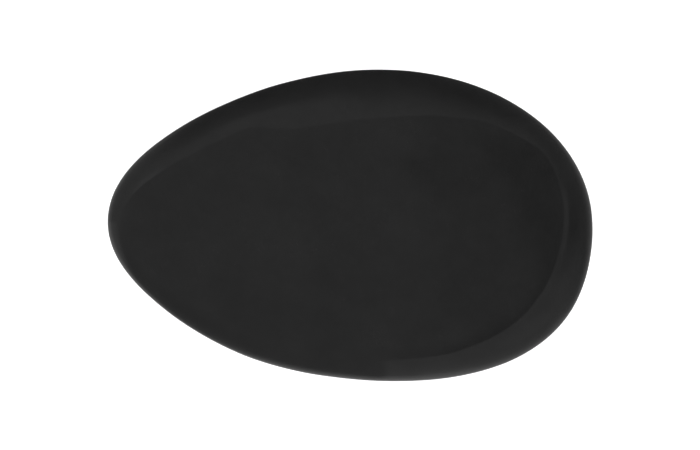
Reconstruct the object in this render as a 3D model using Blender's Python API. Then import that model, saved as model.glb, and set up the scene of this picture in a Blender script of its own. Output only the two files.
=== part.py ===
"""A basalt massage stone: one solid pebble of dense, polished basalt.

The stone lies on the XY plane, with its pointed end towards -X and its blunt end towards +X.
The origin is at the middle of its box, on the surface that it rests on.

A ball is pressed into the pebble's shape. Seen from above, its girth is an ellipse with a few
broad lobes. Seen from the side, the crown above the girth and the belly below it are fuller
than an ellipse: flat in the middle, and quick to turn at the edge. The belly ends in a flat
resting face, so that the stone lies still on a tray.
"""

import math

import bmesh
import bpy

# Driving dimensions, in metres.
LENGTH = 0.0900
WIDTH = 0.0578
THICKNESS = 0.0220
GIRTH_HEIGHT = 0.0095
GIRTH_SWING = 0.0004

# The girth's lobes: how many go round, their height as a share of the radius, and the angle
# in degrees by which the lobes are turned. Three make the egg, two skew it, and the rest are
# the slight flats of a stone that a river has rounded.
LOBES = (
    (2, 0.0160, 272.0),
    (3, 0.0405, 186.0),
    (4, 0.0030, 274.0),
    (5, 0.0080, 123.0),
    (6, 0.0035, 32.0),
)
# Where the girth is highest above the resting surface, in degrees round from +X.
GIRTH_LEAN = 20.0

# The crown's exponent in plan: 2 is a plain dome, and more keeps it flat nearer to the edge.
# The crown is fullest towards one side, at this angle in degrees round from +X.
CROWN_FULLNESS = 2.75
CROWN_FULLNESS_SWING = 0.30
CROWN_FULL_SIDE = 235.0

# The resting face's outline is the girth's, at this share of its size.
RESTING_SHARE = 0.40

# The mesh: sides around the stone, and rings from pole to pole. The girth is the middle ring.
SIDES = 96
RINGS = 34
# How many points of the girth are looked at to find its length and width.
GIRTH_SAMPLES = 1440

BASALT_COLOUR = (0.013, 0.013, 0.013, 1.0)
BASALT_ROUGHNESS = 0.12


def lobed_radius(angle):
    """The girth's radius at this angle, as a share of the plain ellipse's."""
    lobes = (
        height * math.cos(count * angle - math.radians(turn))
        for count, height, turn in LOBES
    )
    return 1.0 + sum(lobes)


def span_of(values):
    """The middle and the length of the stretch that these values cover."""
    low, high = min(values), max(values)
    return (low + high) / 2, high - low


def girth_ellipse():
    """The ellipse's middle and half axes that give the lobed girth its length and width."""
    angles = [2 * math.pi * i / GIRTH_SAMPLES for i in range(GIRTH_SAMPLES)]
    middle_x, span_x = span_of([lobed_radius(a) * math.cos(a) for a in angles])
    middle_y, span_y = span_of([lobed_radius(a) * math.sin(a) for a in angles])
    half_x = LENGTH / span_x
    half_y = WIDTH / span_y
    return -middle_x * half_x, -middle_y * half_y, half_x, half_y


def girth_height(angle):
    """The girth's height above the resting surface: it leans a little, as a real pebble's does."""
    return GIRTH_HEIGHT + GIRTH_SWING * math.cos(angle - math.radians(GIRTH_LEAN))


def crown_fullness(angle):
    """The crown's exponent at this angle."""
    swing = math.cos(angle - math.radians(CROWN_FULL_SIDE))
    return CROWN_FULLNESS + CROWN_FULLNESS_SWING * swing


def belly_fullness(angle):
    """The exponent that gives the belly the crown's own curvature where they meet.

    A reflection then runs over the girth with no kink.
    """
    girth = girth_height(angle)
    taller = (THICKNESS - girth) / girth
    return crown_fullness(angle) * (1 - RESTING_SHARE) * taller**2


def crown_point(turn, angle):
    """(share of the girth's radius, height) at a turn from the top of the crown to the girth."""
    girth = girth_height(angle)
    share = math.sin(turn) ** (2 / crown_fullness(angle))
    return share, girth + (THICKNESS - girth) * math.cos(turn)


def belly_point(turn, angle):
    """(share of the girth's radius, height) at a turn from the resting face's rim to the girth."""
    beyond = math.sin(turn) ** (2 / belly_fullness(angle))
    share = RESTING_SHARE + (1 - RESTING_SHARE) * beyond
    return share, girth_height(angle) * (1 - math.cos(turn))


def pressed(direction, ellipse):
    """Where the ball's point in this direction goes on the stone."""
    middle_x, middle_y, half_x, half_y = ellipse
    angle = math.atan2(direction.y, direction.x)
    quarter = math.pi / 2
    ring = math.acos(max(-1.0, min(1.0, abs(direction.z))))
    first_ring = math.pi / RINGS
    if direction.z >= 0:
        share, height = crown_point(min(ring, quarter), angle)
    elif ring < first_ring / 2:
        share, height = 0.0, 0.0
    else:
        turn = (ring - first_ring) / (quarter - first_ring) * quarter
        share, height = belly_point(max(0.0, min(turn, quarter)), angle)
    radius = share * lobed_radius(angle)
    return (
        middle_x + half_x * radius * math.cos(angle),
        middle_y + half_y * radius * math.sin(angle),
        height,
    )


def basalt():
    """Dense black basalt with a hand polish."""
    material = bpy.data.materials.new("basalt")
    material.use_nodes = True
    shader = material.node_tree.nodes["Principled BSDF"]
    shader.inputs["Base Color"].default_value = BASALT_COLOUR
    shader.inputs["Roughness"].default_value = BASALT_ROUGHNESS
    shader.inputs["Metallic"].default_value = 0.0
    return material


def stone():
    """The whole stone, as one closed body."""
    shape = bmesh.new()
    bmesh.ops.create_uvsphere(shape, u_segments=SIDES, v_segments=RINGS, radius=1.0)
    ellipse = girth_ellipse()
    for vertex in shape.verts:
        vertex.co = pressed(vertex.co.copy(), ellipse)
    mesh = bpy.data.meshes.new("stone")
    shape.to_mesh(mesh)
    shape.free()
    mesh.shade_smooth()
    mesh.materials.append(basalt())
    return bpy.data.objects.new("stone", mesh)


def main():
    for old in list(bpy.data.objects):
        bpy.data.objects.remove(old)
    parts = bpy.data.collections.new("massage_stone")
    bpy.context.scene.collection.children.link(parts)
    parts.objects.link(stone())


main()
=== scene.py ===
"""The looks of a polished basalt massage stone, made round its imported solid.

The stone is one piece of rock, so the scene has one piece: the solid's shape made again as a
fine mesh, with the slight waves of a hand-polished surface. Around it are a pale floor, soft
light, and the grey studio that its polish mirrors.
"""

import functools
import math

import bmesh
import bpy
import numpy as np
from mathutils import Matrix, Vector, noise


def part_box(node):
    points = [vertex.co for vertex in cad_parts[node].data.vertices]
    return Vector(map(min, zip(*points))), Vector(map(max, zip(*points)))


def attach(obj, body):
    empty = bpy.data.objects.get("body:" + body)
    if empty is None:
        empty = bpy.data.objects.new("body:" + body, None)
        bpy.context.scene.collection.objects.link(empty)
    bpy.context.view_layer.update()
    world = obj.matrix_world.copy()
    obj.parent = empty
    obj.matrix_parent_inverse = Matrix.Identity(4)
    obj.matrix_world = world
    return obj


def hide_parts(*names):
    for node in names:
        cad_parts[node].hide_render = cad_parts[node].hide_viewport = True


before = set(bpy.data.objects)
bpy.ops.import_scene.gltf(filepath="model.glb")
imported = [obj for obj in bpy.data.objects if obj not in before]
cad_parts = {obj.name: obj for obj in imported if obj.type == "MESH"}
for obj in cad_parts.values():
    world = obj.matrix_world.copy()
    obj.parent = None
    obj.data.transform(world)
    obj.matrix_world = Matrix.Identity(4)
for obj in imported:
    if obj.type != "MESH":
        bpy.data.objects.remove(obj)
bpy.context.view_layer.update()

NODE = "stone"

# The stone's shape, as in its solid. Lengths are in metres, and angles in degrees round from +X.
GIRTH_HEIGHT = 0.0095
GIRTH_SWING = 0.0004
GIRTH_LEAN = 20.0
# The girth's lobes: how many go round, their height as a share of the radius, and the angle by
# which they are turned. The heights and angles come from a fit to the photograph's outline.
LOBES = (
    (2, 0.0160, 272.0),
    (3, 0.0405, 186.0),
    (4, 0.0030, 274.0),
    (5, 0.0080, 123.0),
    (6, 0.0035, 32.0),
)
# The crown's exponent in plan: 2 is a plain dome, and more keeps it flat nearer to the edge.
CROWN_FULLNESS = 2.75
CROWN_FULLNESS_SWING = 0.30
CROWN_FULL_SIDE = 235.0
# The resting face's outline is the girth's, at this share of its size.
RESTING_SHARE = 0.40

# The fine mesh: quads along one side of the cube that is blown up into the stone, and the angle
# from straight down within which the cube's directions land on the resting face.
QUADS_ACROSS = 128
RESTING_TURN = math.radians(34.0)
# How many points of the girth are looked at to find its length and width, and how many steps of
# Newton's method find a point of the profile.
GIRTH_SAMPLES = 1440
NEWTON_STEPS = 8

# The polished surface's slight waves: (length, height) of each, in metres. They die away
# towards the resting face, so that it stays flat.
WAVES = ((0.021, 0.000060), (0.009, 0.000016))
WAVES_START = 0.0005
WAVES_FULL = 0.0040

# The hand polish: it starts at one height on the belly and is full from another, near the girth.
POLISH_START = 0.0030
POLISH_FULL = 0.0085

# The basalt's patterns: how wide the blotches of each one are, in metres.
CLOUD_SIZE = 0.016
MOTTLE_SIZE = 0.006
GRAIN_SIZE = 0.0006

# Its painted glints, small flecks on its crystals painted lighter, and its pinholes: how far
# apart their places are and how big they are, in metres, and the share of the places that is
# filled. A spot is full over its core.
GLINT_FLECKS = {"spacing": 0.0011, "radius": 0.00016, "share": 0.35}
PINHOLES = {"spacing": 0.0030, "radius": 0.00022, "share": 0.5}
SPOT_CORE = 0.4

# Its two sets of polishing marks: the angle that they run at, in degrees, and their length and
# width, in metres. A mark starts where a stretched noise is above the first of these levels, and
# is full where it is above the second.
MARKS = ((24, 0.014, 0.00022), (-51, 0.009, 0.00018))
MARKS_START = 0.68
MARKS_FULL = 0.80

# The rock's own grey, how much each pattern changes it by, and a pinhole's painted shade.
GREY = 0.0124
CLOUD_GREY = 0.0045
MOTTLE_GREY = 0.0060
GRAIN_GREY = 0.0030
PAINTED_GLINT_GREY = 0.0030
BELLY_GREY = 0.0050
PINHOLE_PAINTED_SHADE = 0.0040

# How rough the polish is, and how much each of these adds to it.
ROUGHNESS = 0.045
CLOUD_ROUGHNESS = 0.02
MARK_ROUGHNESS = 0.02
BELLY_ROUGHNESS = 0.16

# The finest relief, in metres: how tall the grain is under the polish and how much taller it is
# on the belly, and how deep the polishing marks and the pinholes are.
GRAIN_RELIEF = 0.0000008
BELLY_RELIEF = 0.000008
MARK_DEPTH = 0.0000003
PINHOLE_DEPTH = 0.00008

# The camera looks straight down. The stone's length fills this share of the picture's width.
LENS = 120.0
SENSOR = 36.0
LENGTH_IN_VIEW = 0.6926
# How far the camera stands to the +Y side of the box's middle, in metres.
CAMERA_SHIFT = 0.00006
# The nearest and the farthest that it sees, in metres.
NEAREST = 0.01
FARTHEST = 20.0

# The floor lies just under the stone, and glows so that the camera sees it as white.
FLOOR_SIZE = 8.0
FLOOR_GAP = 0.0001
FLOOR_COLOUR = (0.90, 0.90, 0.90, 1.0)
FLOOR_GLOW = 0.62
# How brightly the camera sees what is past the floor. The polish mirrors the studio instead.
BACKDROP = 1.2

# The soft lamp overhead: metres and watts.
LAMP_HEIGHT = 1.5
LAMP_SIZE = 1.6
LAMP_POWER = 26.0

# The studio that the polish mirrors, as seen on a ball of directions round the stone. Heights
# and distances in it are the ball's, whose radius is 1.
#
# How bright its scrim is, its walls at the top and next to the floor, and its floor.
SCRIM = 0.246
WALLS_HIGH = 0.36
WALLS_LOW = 0.255
STUDIO_FLOOR = 0.40
# How soft the scrim's straight edges are, to either side.
EDGE_SOFTNESS = 0.012
# How bright the scrim's dimmer right-hand side is, and the shades on it: a flag's, and the one
# along its right edge.
DIM_SIDE = 0.18
FLAG_SHADE = 0.065
EDGE_SHADE = 0.085
# The strip light past the scrim's right edge: how far past it the light is, and its brightness.
STRIP_OFFSET = 0.06
STRIP_LIGHT = 0.27
# How much of the floor the scrim hides at the near left.
FLOOR_HIDDEN = 0.6


class Graph:
    """Adds nodes to a node tree, so that a formula is written as one."""

    def __init__(self, tree):
        self.tree = tree
        tree.nodes.clear()

    def node(self, kind, **settings):
        """A new node of this kind, with these settings."""
        made = self.tree.nodes.new(kind)
        for name, value in settings.items():
            setattr(made, name, value)
        return made

    def put(self, socket, value):
        """Links value to the socket if it is a socket, or sets it there if it isn't one."""
        if isinstance(value, bpy.types.NodeSocket):
            self.tree.links.new(value, socket)
        else:
            socket.default_value = value

    def math(self, operation, *values):
        """The result of this operation on these values."""
        made = self.node("ShaderNodeMath", operation=operation)
        for socket, value in zip(made.inputs, values):
            self.put(socket, value)
        return made.outputs["Value"]

    def lowest(self, *values):
        """The lowest of these values."""
        return functools.reduce(functools.partial(self.math, "MINIMUM"), values)

    def highest(self, *values):
        """The highest of these values."""
        return functools.reduce(functools.partial(self.math, "MAXIMUM"), values)

    def add(self, base, share, amount):
        """base, plus this share of the amount."""
        return self.math("MULTIPLY_ADD", share, amount, base)

    def vary(self, base, pattern, amount):
        """base, moved up and down by a pattern from 0 to 1, over a range of this amount."""
        return self.add(base, self.math("SUBTRACT", pattern, 0.5), amount)

    def along(self, vector, direction):
        """How far the vector reaches along this direction."""
        made = self.node("ShaderNodeVectorMath", operation="DOT_PRODUCT")
        self.put(made.inputs[0], vector)
        self.put(made.inputs[1], Vector(direction).normalized())
        return made.outputs["Value"]

    def rise(self, value, none, full):
        """0 where the value is none, 1 where it is full, smooth between them, level past them."""
        made = self.node("ShaderNodeMapRange", interpolation_type="SMOOTHSTEP")
        self.put(made.inputs["Value"], value)
        self.put(made.inputs["From Min"], none)
        self.put(made.inputs["From Max"], full)
        return made.outputs["Result"]

    def mix(self, share, first, second):
        """first where share is 0, second where it is 1."""
        made = self.node("ShaderNodeMix", data_type="FLOAT")
        self.put(made.inputs["Factor"], share)
        self.put(made.inputs["A"], first)
        self.put(made.inputs["B"], second)
        return made.outputs["Result"]

    def noise(self, vector, size, detail=2.0, roughness=0.5):
        """Noise from 0 to 1, whose blotches are about this many metres wide."""
        made = self.node("ShaderNodeTexNoise")
        self.put(made.inputs["Vector"], vector)
        self.put(made.inputs["Scale"], 1.0 / size)
        self.put(made.inputs["Detail"], detail)
        self.put(made.inputs["Roughness"], roughness)
        return made.outputs["Fac"]


# ---- the stone's shape ----


def lobed_radius(angle):
    """The girth's radius at these angles, as a share of the plain ellipse's."""
    radius = np.ones_like(angle)
    for count, height, turn in LOBES:
        radius += height * np.cos(count * angle - math.radians(turn))
    return radius


def girth_ellipse(length, width):
    """The ellipse's middle and half axes that give the lobed girth this length and width."""
    angle = np.linspace(0.0, 2 * math.pi, GIRTH_SAMPLES, endpoint=False)
    radius = lobed_radius(angle)
    x, y = radius * np.cos(angle), radius * np.sin(angle)
    half_x, half_y = length / np.ptp(x), width / np.ptp(y)
    middle_x = -(x.min() + x.max()) / 2 * half_x
    middle_y = -(y.min() + y.max()) / 2 * half_y
    return middle_x, middle_y, half_x, half_y


def profile(turn, fullness):
    """(out, up) where a ray at this turn from the pole meets out**fullness + up**2 = 1."""
    sine, cosine = np.sin(turn), np.cos(turn)
    reach = np.ones_like(turn)
    for _ in range(NEWTON_STEPS):
        out, up = reach * sine, reach * cosine
        excess = out**fullness + up**2 - 1
        slope = (fullness * out**fullness + 2 * up**2) / reach
        reach = reach - excess / slope
    return reach * sine, reach * cosine


def crown_points(turn, girth, fullness, thickness):
    """(share of the girth's radius, height) at these turns from the top of the crown."""
    share, up = profile(turn, fullness)
    return share, girth + (thickness - girth) * up


def belly_points(turn, girth, fullness, thickness):
    """(share of the girth's radius, height) at these turns from the resting face's middle.

    The belly's own fullness gives it the crown's curvature where they meet.
    """
    taller = (thickness - girth) / girth
    quarter = math.pi / 2
    belly_turn = (turn - RESTING_TURN) / (quarter - RESTING_TURN) * quarter
    beyond, down = profile(
        np.clip(belly_turn, 0.0, quarter),
        fullness * (1 - RESTING_SHARE) * taller**2,
    )
    resting = turn < RESTING_TURN
    resting_share = RESTING_SHARE * turn / RESTING_TURN
    share = np.where(resting, resting_share, RESTING_SHARE + (1 - RESTING_SHARE) * beyond)
    return share, np.where(resting, 0.0, girth * (1 - down))


def pressed(directions, length, width, thickness):
    """Where the ball's points in these directions go on the stone."""
    x, y, z = directions.T
    angle = np.arctan2(y, x)
    turn = np.arccos(np.clip(np.abs(z), 0.0, 1.0))
    girth = GIRTH_HEIGHT + GIRTH_SWING * np.cos(angle - math.radians(GIRTH_LEAN))
    swing = np.cos(angle - math.radians(CROWN_FULL_SIDE))
    fullness = CROWN_FULLNESS + CROWN_FULLNESS_SWING * swing
    share, height = np.where(
        z < 0,
        belly_points(turn, girth, fullness, thickness),
        crown_points(turn, girth, fullness, thickness),
    )

    middle_x, middle_y, half_x, half_y = girth_ellipse(length, width)
    radius = share * lobed_radius(angle)
    return np.column_stack(
        (
            middle_x + half_x * radius * np.cos(angle),
            middle_y + half_y * radius * np.sin(angle),
            height,
        )
    )


def read_vectors(items, name):
    """The vector of this name that each of a mesh's items has, as rows of an array."""
    flat = np.empty(len(items) * 3, np.float32)
    items.foreach_get(name, flat)
    return flat.reshape(-1, 3).astype(float)


def wave_heights(points):
    """How far the polish leaves each of these points proud of the plain shape."""
    heights = np.zeros(len(points))
    for length, height in WAVES:
        # A wave of the noise takes up about two of its cells.
        cell = length / 2
        heights += [height * noise.noise(Vector(point) / cell) for point in points]
    share = np.clip((points[:, 2] - WAVES_START) / (WAVES_FULL - WAVES_START), 0.0, 1.0)
    return heights * share * share * (3 - 2 * share)


def make_stone():
    """The stone as a fine mesh: a cube blown up into a ball and pressed into the pebble."""
    low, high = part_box(NODE)
    size = high - low
    shape = bmesh.new()
    bmesh.ops.create_cube(shape, size=2.0)
    bmesh.ops.subdivide_edges(
        shape, edges=shape.edges[:], cuts=QUADS_ACROSS - 1, use_grid_fill=True
    )
    mesh = bpy.data.meshes.new("polished_stone")
    shape.to_mesh(mesh)
    shape.free()

    # The tangent makes the cube's quads nearly equal on the ball.
    cube = np.tan(read_vectors(mesh.vertices, "co") * math.pi / 4)
    ball = cube / np.linalg.norm(cube, axis=1, keepdims=True)
    points = pressed(ball, size.x, size.y, size.z)
    mesh.vertices.foreach_set("co", points.astype(np.float32).ravel())
    mesh.update()
    normals = read_vectors(mesh.vertex_normals, "vector")
    points += normals * wave_heights(points)[:, None]
    mesh.vertices.foreach_set("co", points.astype(np.float32).ravel())
    mesh.shade_smooth()
    mesh.update()

    stone = bpy.data.objects.new("polished_stone", mesh)
    bpy.context.scene.collection.objects.link(stone)
    stone.data.materials.append(basalt())
    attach(stone, "root")
    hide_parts(NODE)


# ---- the basalt ----


def spots(graph, place, spacing, radius, share):
    """Round spots: 1 over their core, 0 from this radius out.

    They are about this far apart, and this share of the places that they could be is filled.
    """
    cells = graph.node("ShaderNodeTexVoronoi")
    graph.put(cells.inputs["Vector"], place)
    graph.put(cells.inputs["Scale"], 1.0 / spacing)
    parts = graph.node("ShaderNodeSeparateColor")
    graph.put(parts.inputs["Color"], cells.outputs["Color"])
    filled = graph.math("LESS_THAN", parts.outputs["Red"], share)
    inner = graph.rise(
        cells.outputs["Distance"],
        none=radius / spacing,
        full=SPOT_CORE * radius / spacing,
    )
    return graph.math("MULTIPLY", inner, filled)


def hairlines(graph, place, angle, length, width):
    """Faint straight polishing marks that run at this angle: mostly 0, and up to 1 on a mark."""
    turned = graph.node("ShaderNodeMapping")
    graph.put(turned.inputs["Vector"], place)
    graph.put(turned.inputs["Rotation"], (0.0, 0.0, math.radians(angle)))
    graph.put(turned.inputs["Scale"], (1.0 / length, 1.0 / width, 1.0 / length))
    stretched = graph.noise(turned.outputs["Vector"], 1.0, detail=1.0)
    return graph.rise(stretched, MARKS_START, MARKS_FULL)


def basalt():
    """Dense black basalt, in the stone's own coordinates.

    The crown has a hand polish. The belly was tumbled but not polished, so it is duller and
    keeps a few of the rock's pinholes.
    """
    material = bpy.data.materials.new("basalt")
    material.use_nodes = True
    graph = Graph(material.node_tree)
    place = graph.node("ShaderNodeTexCoord").outputs["Object"]
    split = graph.node("ShaderNodeSeparateXYZ")
    graph.put(split.inputs["Vector"], place)
    belly = graph.rise(split.outputs["Z"], POLISH_FULL, POLISH_START)

    clouds = graph.noise(place, CLOUD_SIZE)
    mottle = graph.noise(place, MOTTLE_SIZE, detail=3.0, roughness=0.8)
    grain = graph.noise(place, GRAIN_SIZE, detail=3.0, roughness=0.6)
    painted_glints = spots(graph, place, **GLINT_FLECKS)
    pinholes = graph.math("MULTIPLY", spots(graph, place, **PINHOLES), belly)
    marks = graph.highest(*(hairlines(graph, place, *mark) for mark in MARKS))

    grey = graph.vary(GREY, clouds, CLOUD_GREY)
    grey = graph.vary(grey, mottle, MOTTLE_GREY)
    grey = graph.vary(grey, grain, GRAIN_GREY)
    # Painted glints: the flecks lighten the grey as if their crystals caught the light.
    grey = graph.add(grey, painted_glints, PAINTED_GLINT_GREY)
    grey = graph.add(grey, belly, BELLY_GREY)
    # Each pinhole is filled with a darker grey: painted shade in its hollow.
    grey = graph.mix(pinholes, grey, PINHOLE_PAINTED_SHADE)
    colour = graph.node("ShaderNodeCombineColor")
    for channel in ("Red", "Green", "Blue"):
        graph.put(colour.inputs[channel], grey)

    roughness = graph.add(ROUGHNESS, clouds, CLOUD_ROUGHNESS)
    roughness = graph.add(roughness, marks, MARK_ROUGHNESS)
    roughness = graph.add(roughness, belly, BELLY_ROUGHNESS)

    relief = graph.vary(0.0, grain, GRAIN_RELIEF)
    relief = graph.add(relief, marks, -MARK_DEPTH)
    relief = graph.add(relief, graph.math("MULTIPLY", grain, belly), BELLY_RELIEF)
    relief = graph.add(relief, pinholes, -PINHOLE_DEPTH)
    # The relief is in metres already, so the bump takes it as it is.
    bump = graph.node("ShaderNodeBump")
    graph.put(bump.inputs["Height"], relief)
    bump.inputs["Strength"].default_value = 1.0
    bump.inputs["Distance"].default_value = 1.0

    shader = graph.node("ShaderNodeBsdfPrincipled")
    graph.put(shader.inputs["Base Color"], colour.outputs["Color"])
    graph.put(shader.inputs["Roughness"], roughness)
    graph.put(shader.inputs["Normal"], bump.outputs["Normal"])
    shader.inputs["IOR"].default_value = 1.5
    output = graph.node("ShaderNodeOutputMaterial")
    graph.put(output.inputs["Surface"], shader.outputs["BSDF"])
    return material


# ---- the studio ----


def toward(azimuth, elevation):
    """The unit vector that points this way, in degrees round from +X and up from level."""
    turn, lift = math.radians(azimuth), math.radians(elevation)
    flat = math.cos(lift)
    return Vector((flat * math.cos(turn), flat * math.sin(turn), math.sin(lift)))


class Studio(Graph):
    """Draws the studio round the stone, by formulas of the direction from the stone."""

    def __init__(self, tree):
        super().__init__(tree)
        self.way = self.node("ShaderNodeTexCoord").outputs["Generated"]
        self.across = self.side(1, 0, 0)
        self.away = self.side(0, 1, 0)
        self.height = self.side(0, 0, 1)

    def side(self, *vector):
        """Above 0 on this vector's side of the plane through the stone, below 0 on the other."""
        return self.along(self.way, vector)

    def glow(self, azimuth, elevation, full, none):
        """1 within one angle of this direction, 0 beyond another, in degrees."""
        reach = self.along(self.way, toward(azimuth, elevation))
        return self.rise(
            reach, math.cos(math.radians(none)), math.cos(math.radians(full))
        )

    def upright(self, azimuth):
        """1 along the upright line at this azimuth, 0 from a few degrees to either side."""
        aside = self.math("ABSOLUTE", self.along(self.way, toward(azimuth + 90, 0)))
        ahead = self.along(self.way, toward(azimuth, 0))
        return self.lowest(
            self.rise(aside, none=0.12, full=0.02), self.rise(ahead, none=0.0, full=0.1)
        )

    def patch(self, light, azimuth, elevation, full, none, brightness):
        """This light, with a soft round patch of this brightness laid over it."""
        shape = self.glow(azimuth, elevation, full, none)
        return self.mix(shape, light, brightness)


def scrim_cover(studio, right_edges):
    """Above 0 where the scrim is, and below 0 past its edges."""
    far_right = studio.lowest(studio.side(0.67, -1, 0.89), studio.side(0.28, -1, 1.24))
    far_left = studio.lowest(studio.side(-1.33, -1, 0.54), studio.side(-0.01, -1, 1.55))
    far_edges = studio.highest(far_right, far_left, studio.side(0, -1, 0.94))
    near_left = studio.lowest(studio.side(-1, 0, 0), studio.side(0, -1, 0))
    return studio.highest(studio.lowest(far_edges, right_edges), near_left)


def scrim_light(studio, right_edges):
    """How bright the scrim is: dimmer on its right-hand side, with a flag's shade on it."""
    # Dimmer low down at the near left, and brighter at the left.
    light = studio.patch(SCRIM, -131, -40, full=0, none=58, brightness=0.15)
    light = studio.patch(light, 181, -30, full=19, none=32, brightness=0.34)
    light = studio.patch(light, -170, -53, full=0, none=27, brightness=0.48)
    dim_side = studio.lowest(studio.side(1, 0, -0.11), studio.side(1, 0.28, -0.11))
    light = studio.mix(studio.rise(dim_side, none=-0.06, full=0.09), light, DIM_SIDE)
    light = studio.patch(light, 50, 68, full=0, none=12, brightness=0.15)
    flag = studio.lowest(
        studio.side(1, 0, -0.55),
        studio.side(0.83, 1, -0.61),
        studio.side(1, -0.90, 0.04),
    )
    light = studio.mix(studio.rise(flag, none=-0.14, full=0.13), light, FLAG_SHADE)
    shade = studio.lowest(
        studio.rise(right_edges, none=0.28, full=-0.05),
        studio.rise(studio.across, none=-0.03, full=0.31),
    )
    return studio.mix(shade, light, EDGE_SHADE)


def wall_light(studio, right_edge):
    """How bright the walls are, with two lit uprights and a strip light in front of them."""
    high = studio.rise(studio.height, none=-0.96, full=-0.03)
    light = studio.mix(high, WALLS_LOW, WALLS_HIGH)
    # The dim right-hand corner, and the bright panel to the near side of it.
    light = studio.patch(light, 2, -5, full=0, none=49, brightness=0.0)
    light = studio.patch(light, -37, -3, full=20, none=44, brightness=0.33)
    light = studio.patch(light, -49, 12, full=3, none=18, brightness=0.405)
    light = studio.patch(light, -68, -51, full=0, none=30, brightness=0.395)
    # The dark far wall, which turns into the right-hand one.
    light = studio.patch(light, 82, -27, full=15, none=76, brightness=0.026)
    light = studio.patch(light, 20, -25, full=5, none=58, brightness=0.138)
    light = studio.patch(light, 4, -49, full=0, none=39, brightness=0.29)
    # The far left corner, and the bright top of the far wall.
    light = studio.patch(light, 163, -26, full=0, none=42, brightness=0.235)
    light = studio.patch(light, 145, -48, full=0, none=18, brightness=0.235)
    light = studio.patch(light, 118, 33, full=4, none=27, brightness=0.345)
    light = studio.patch(light, 150, 21, full=2, none=13, brightness=0.49)
    # Two lit uprights at the near right, which fade out towards their tops.
    first = studio.lowest(
        studio.upright(-79), studio.rise(studio.height, none=-0.07, full=-0.88)
    )
    light = studio.mix(first, light, 0.50)
    second = studio.lowest(
        studio.upright(-39), studio.rise(studio.height, none=-0.24, full=-0.45)
    )
    light = studio.mix(second, light, 0.40)
    # A narrow strip light just past the scrim's right edge.
    beside_strip = studio.math("ABSOLUTE", studio.math("ADD", right_edge, STRIP_OFFSET))
    strip = studio.lowest(
        studio.rise(beside_strip, none=0.06, full=0.02),
        studio.rise(studio.away, none=-0.40, full=-0.10),
        studio.rise(studio.away, none=0.40, full=0.12),
    )
    return studio.mix(strip, light, STRIP_LIGHT)


def floor_cover(studio):
    """1 where the studio's floor shows, and 0 where the rest hides it."""
    cover = studio.lowest(
        studio.rise(studio.height, none=-0.46, full=-0.95),
        studio.rise(studio.away, none=0.44, full=0.14),
    )
    return studio.add(cover, studio.glow(-138, -50, full=3, none=22), -FLOOR_HIDDEN)


def mirrored_studio(studio):
    """How bright the studio is in each direction from the stone.

    A grey scrim hangs over the stone and runs down to the floor at the near left. Each straight
    edge of it is a plane through the stone, given by the vector on its scrim side. Past the
    edges are a bright panel and two lit uprights at the near right, a dim corner with a strip
    light at the right, and a wall at the far side, which is bright at its top and dark below.

    The features and their first values were chosen one by one. A least-squares fit to the
    photograph's brightness then refined their numbers, here and in the functions above.
    """
    right_edge = studio.side(-1, 0.43, 1.64)
    right_edges = studio.highest(
        studio.lowest(right_edge, studio.side(-1, 0.63, 1.67)), studio.side(-1, 0.28, 1.40)
    )
    inside = studio.rise(scrim_cover(studio, right_edges), -EDGE_SOFTNESS, EDGE_SOFTNESS)
    walls = wall_light(studio, right_edge)
    scrim = scrim_light(studio, right_edges)
    around = studio.mix(inside, walls, scrim)
    return studio.mix(floor_cover(studio), around, STUDIO_FLOOR)


def make_world():
    """The backdrop that the camera sees, and the studio that the polish mirrors."""
    world = bpy.data.worlds.new("studio")
    bpy.context.scene.world = world
    world.use_nodes = True
    studio = Studio(world.node_tree)
    seen = studio.node("ShaderNodeLightPath").outputs["Is Camera Ray"]
    brightness = studio.mix(seen, mirrored_studio(studio), BACKDROP)
    background = studio.node("ShaderNodeBackground")
    studio.put(background.inputs["Strength"], brightness)
    output = studio.node("ShaderNodeOutputWorld")
    studio.put(output.inputs["Surface"], background.outputs["Background"])


def make_floor():
    """A pale table top that glows, kept out of the polish."""
    shape = bmesh.new()
    bmesh.ops.create_grid(shape, x_segments=1, y_segments=1, size=FLOOR_SIZE / 2)
    mesh = bpy.data.meshes.new("floor")
    shape.to_mesh(mesh)
    shape.free()
    floor = bpy.data.objects.new("floor", mesh)
    bpy.context.scene.collection.objects.link(floor)
    material = bpy.data.materials.new("pale_floor")
    material.use_nodes = True
    shader = material.node_tree.nodes["Principled BSDF"]
    shader.inputs["Base Color"].default_value = FLOOR_COLOUR
    shader.inputs["Roughness"].default_value = 1.0
    shader.inputs["Specular IOR Level"].default_value = 0.0
    shader.inputs["Emission Color"].default_value = (1.0, 1.0, 1.0, 1.0)
    shader.inputs["Emission Strength"].default_value = FLOOR_GLOW
    mesh.materials.append(material)
    floor.location.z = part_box(NODE)[0].z - FLOOR_GAP
    floor.visible_glossy = False


def make_lamp():
    """A large soft lamp overhead, kept out of the polish."""
    light = bpy.data.lights.new("soft_lamp", "AREA")
    light.shape = "DISK"
    light.size = LAMP_SIZE
    light.energy = LAMP_POWER
    lamp = bpy.data.objects.new("soft_lamp", light)
    lamp.location = (0.0, 0.0, LAMP_HEIGHT)
    lamp.visible_glossy = False
    bpy.context.scene.collection.objects.link(lamp)


def make_camera():
    """Straight above the middle of the stone's box, with +Y up in the picture."""
    low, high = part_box(NODE)
    middle = (low + high) / 2
    view_width = (high.x - low.x) / LENGTH_IN_VIEW
    data = bpy.data.cameras.new("camera")
    data.lens = LENS
    data.sensor_width = SENSOR
    data.clip_start = NEAREST
    data.clip_end = FARTHEST
    camera = bpy.data.objects.new("camera", data)
    distance = view_width * LENS / SENSOR
    camera.location = (middle.x, middle.y + CAMERA_SHIFT, GIRTH_HEIGHT + distance)
    camera.rotation_euler = (0.0, 0.0, 0.0)
    bpy.context.scene.collection.objects.link(camera)
    bpy.context.scene.camera = camera


make_camera()
make_stone()
make_floor()
make_lamp()
make_world()
bpy.context.scene.view_settings.view_transform = "Standard"
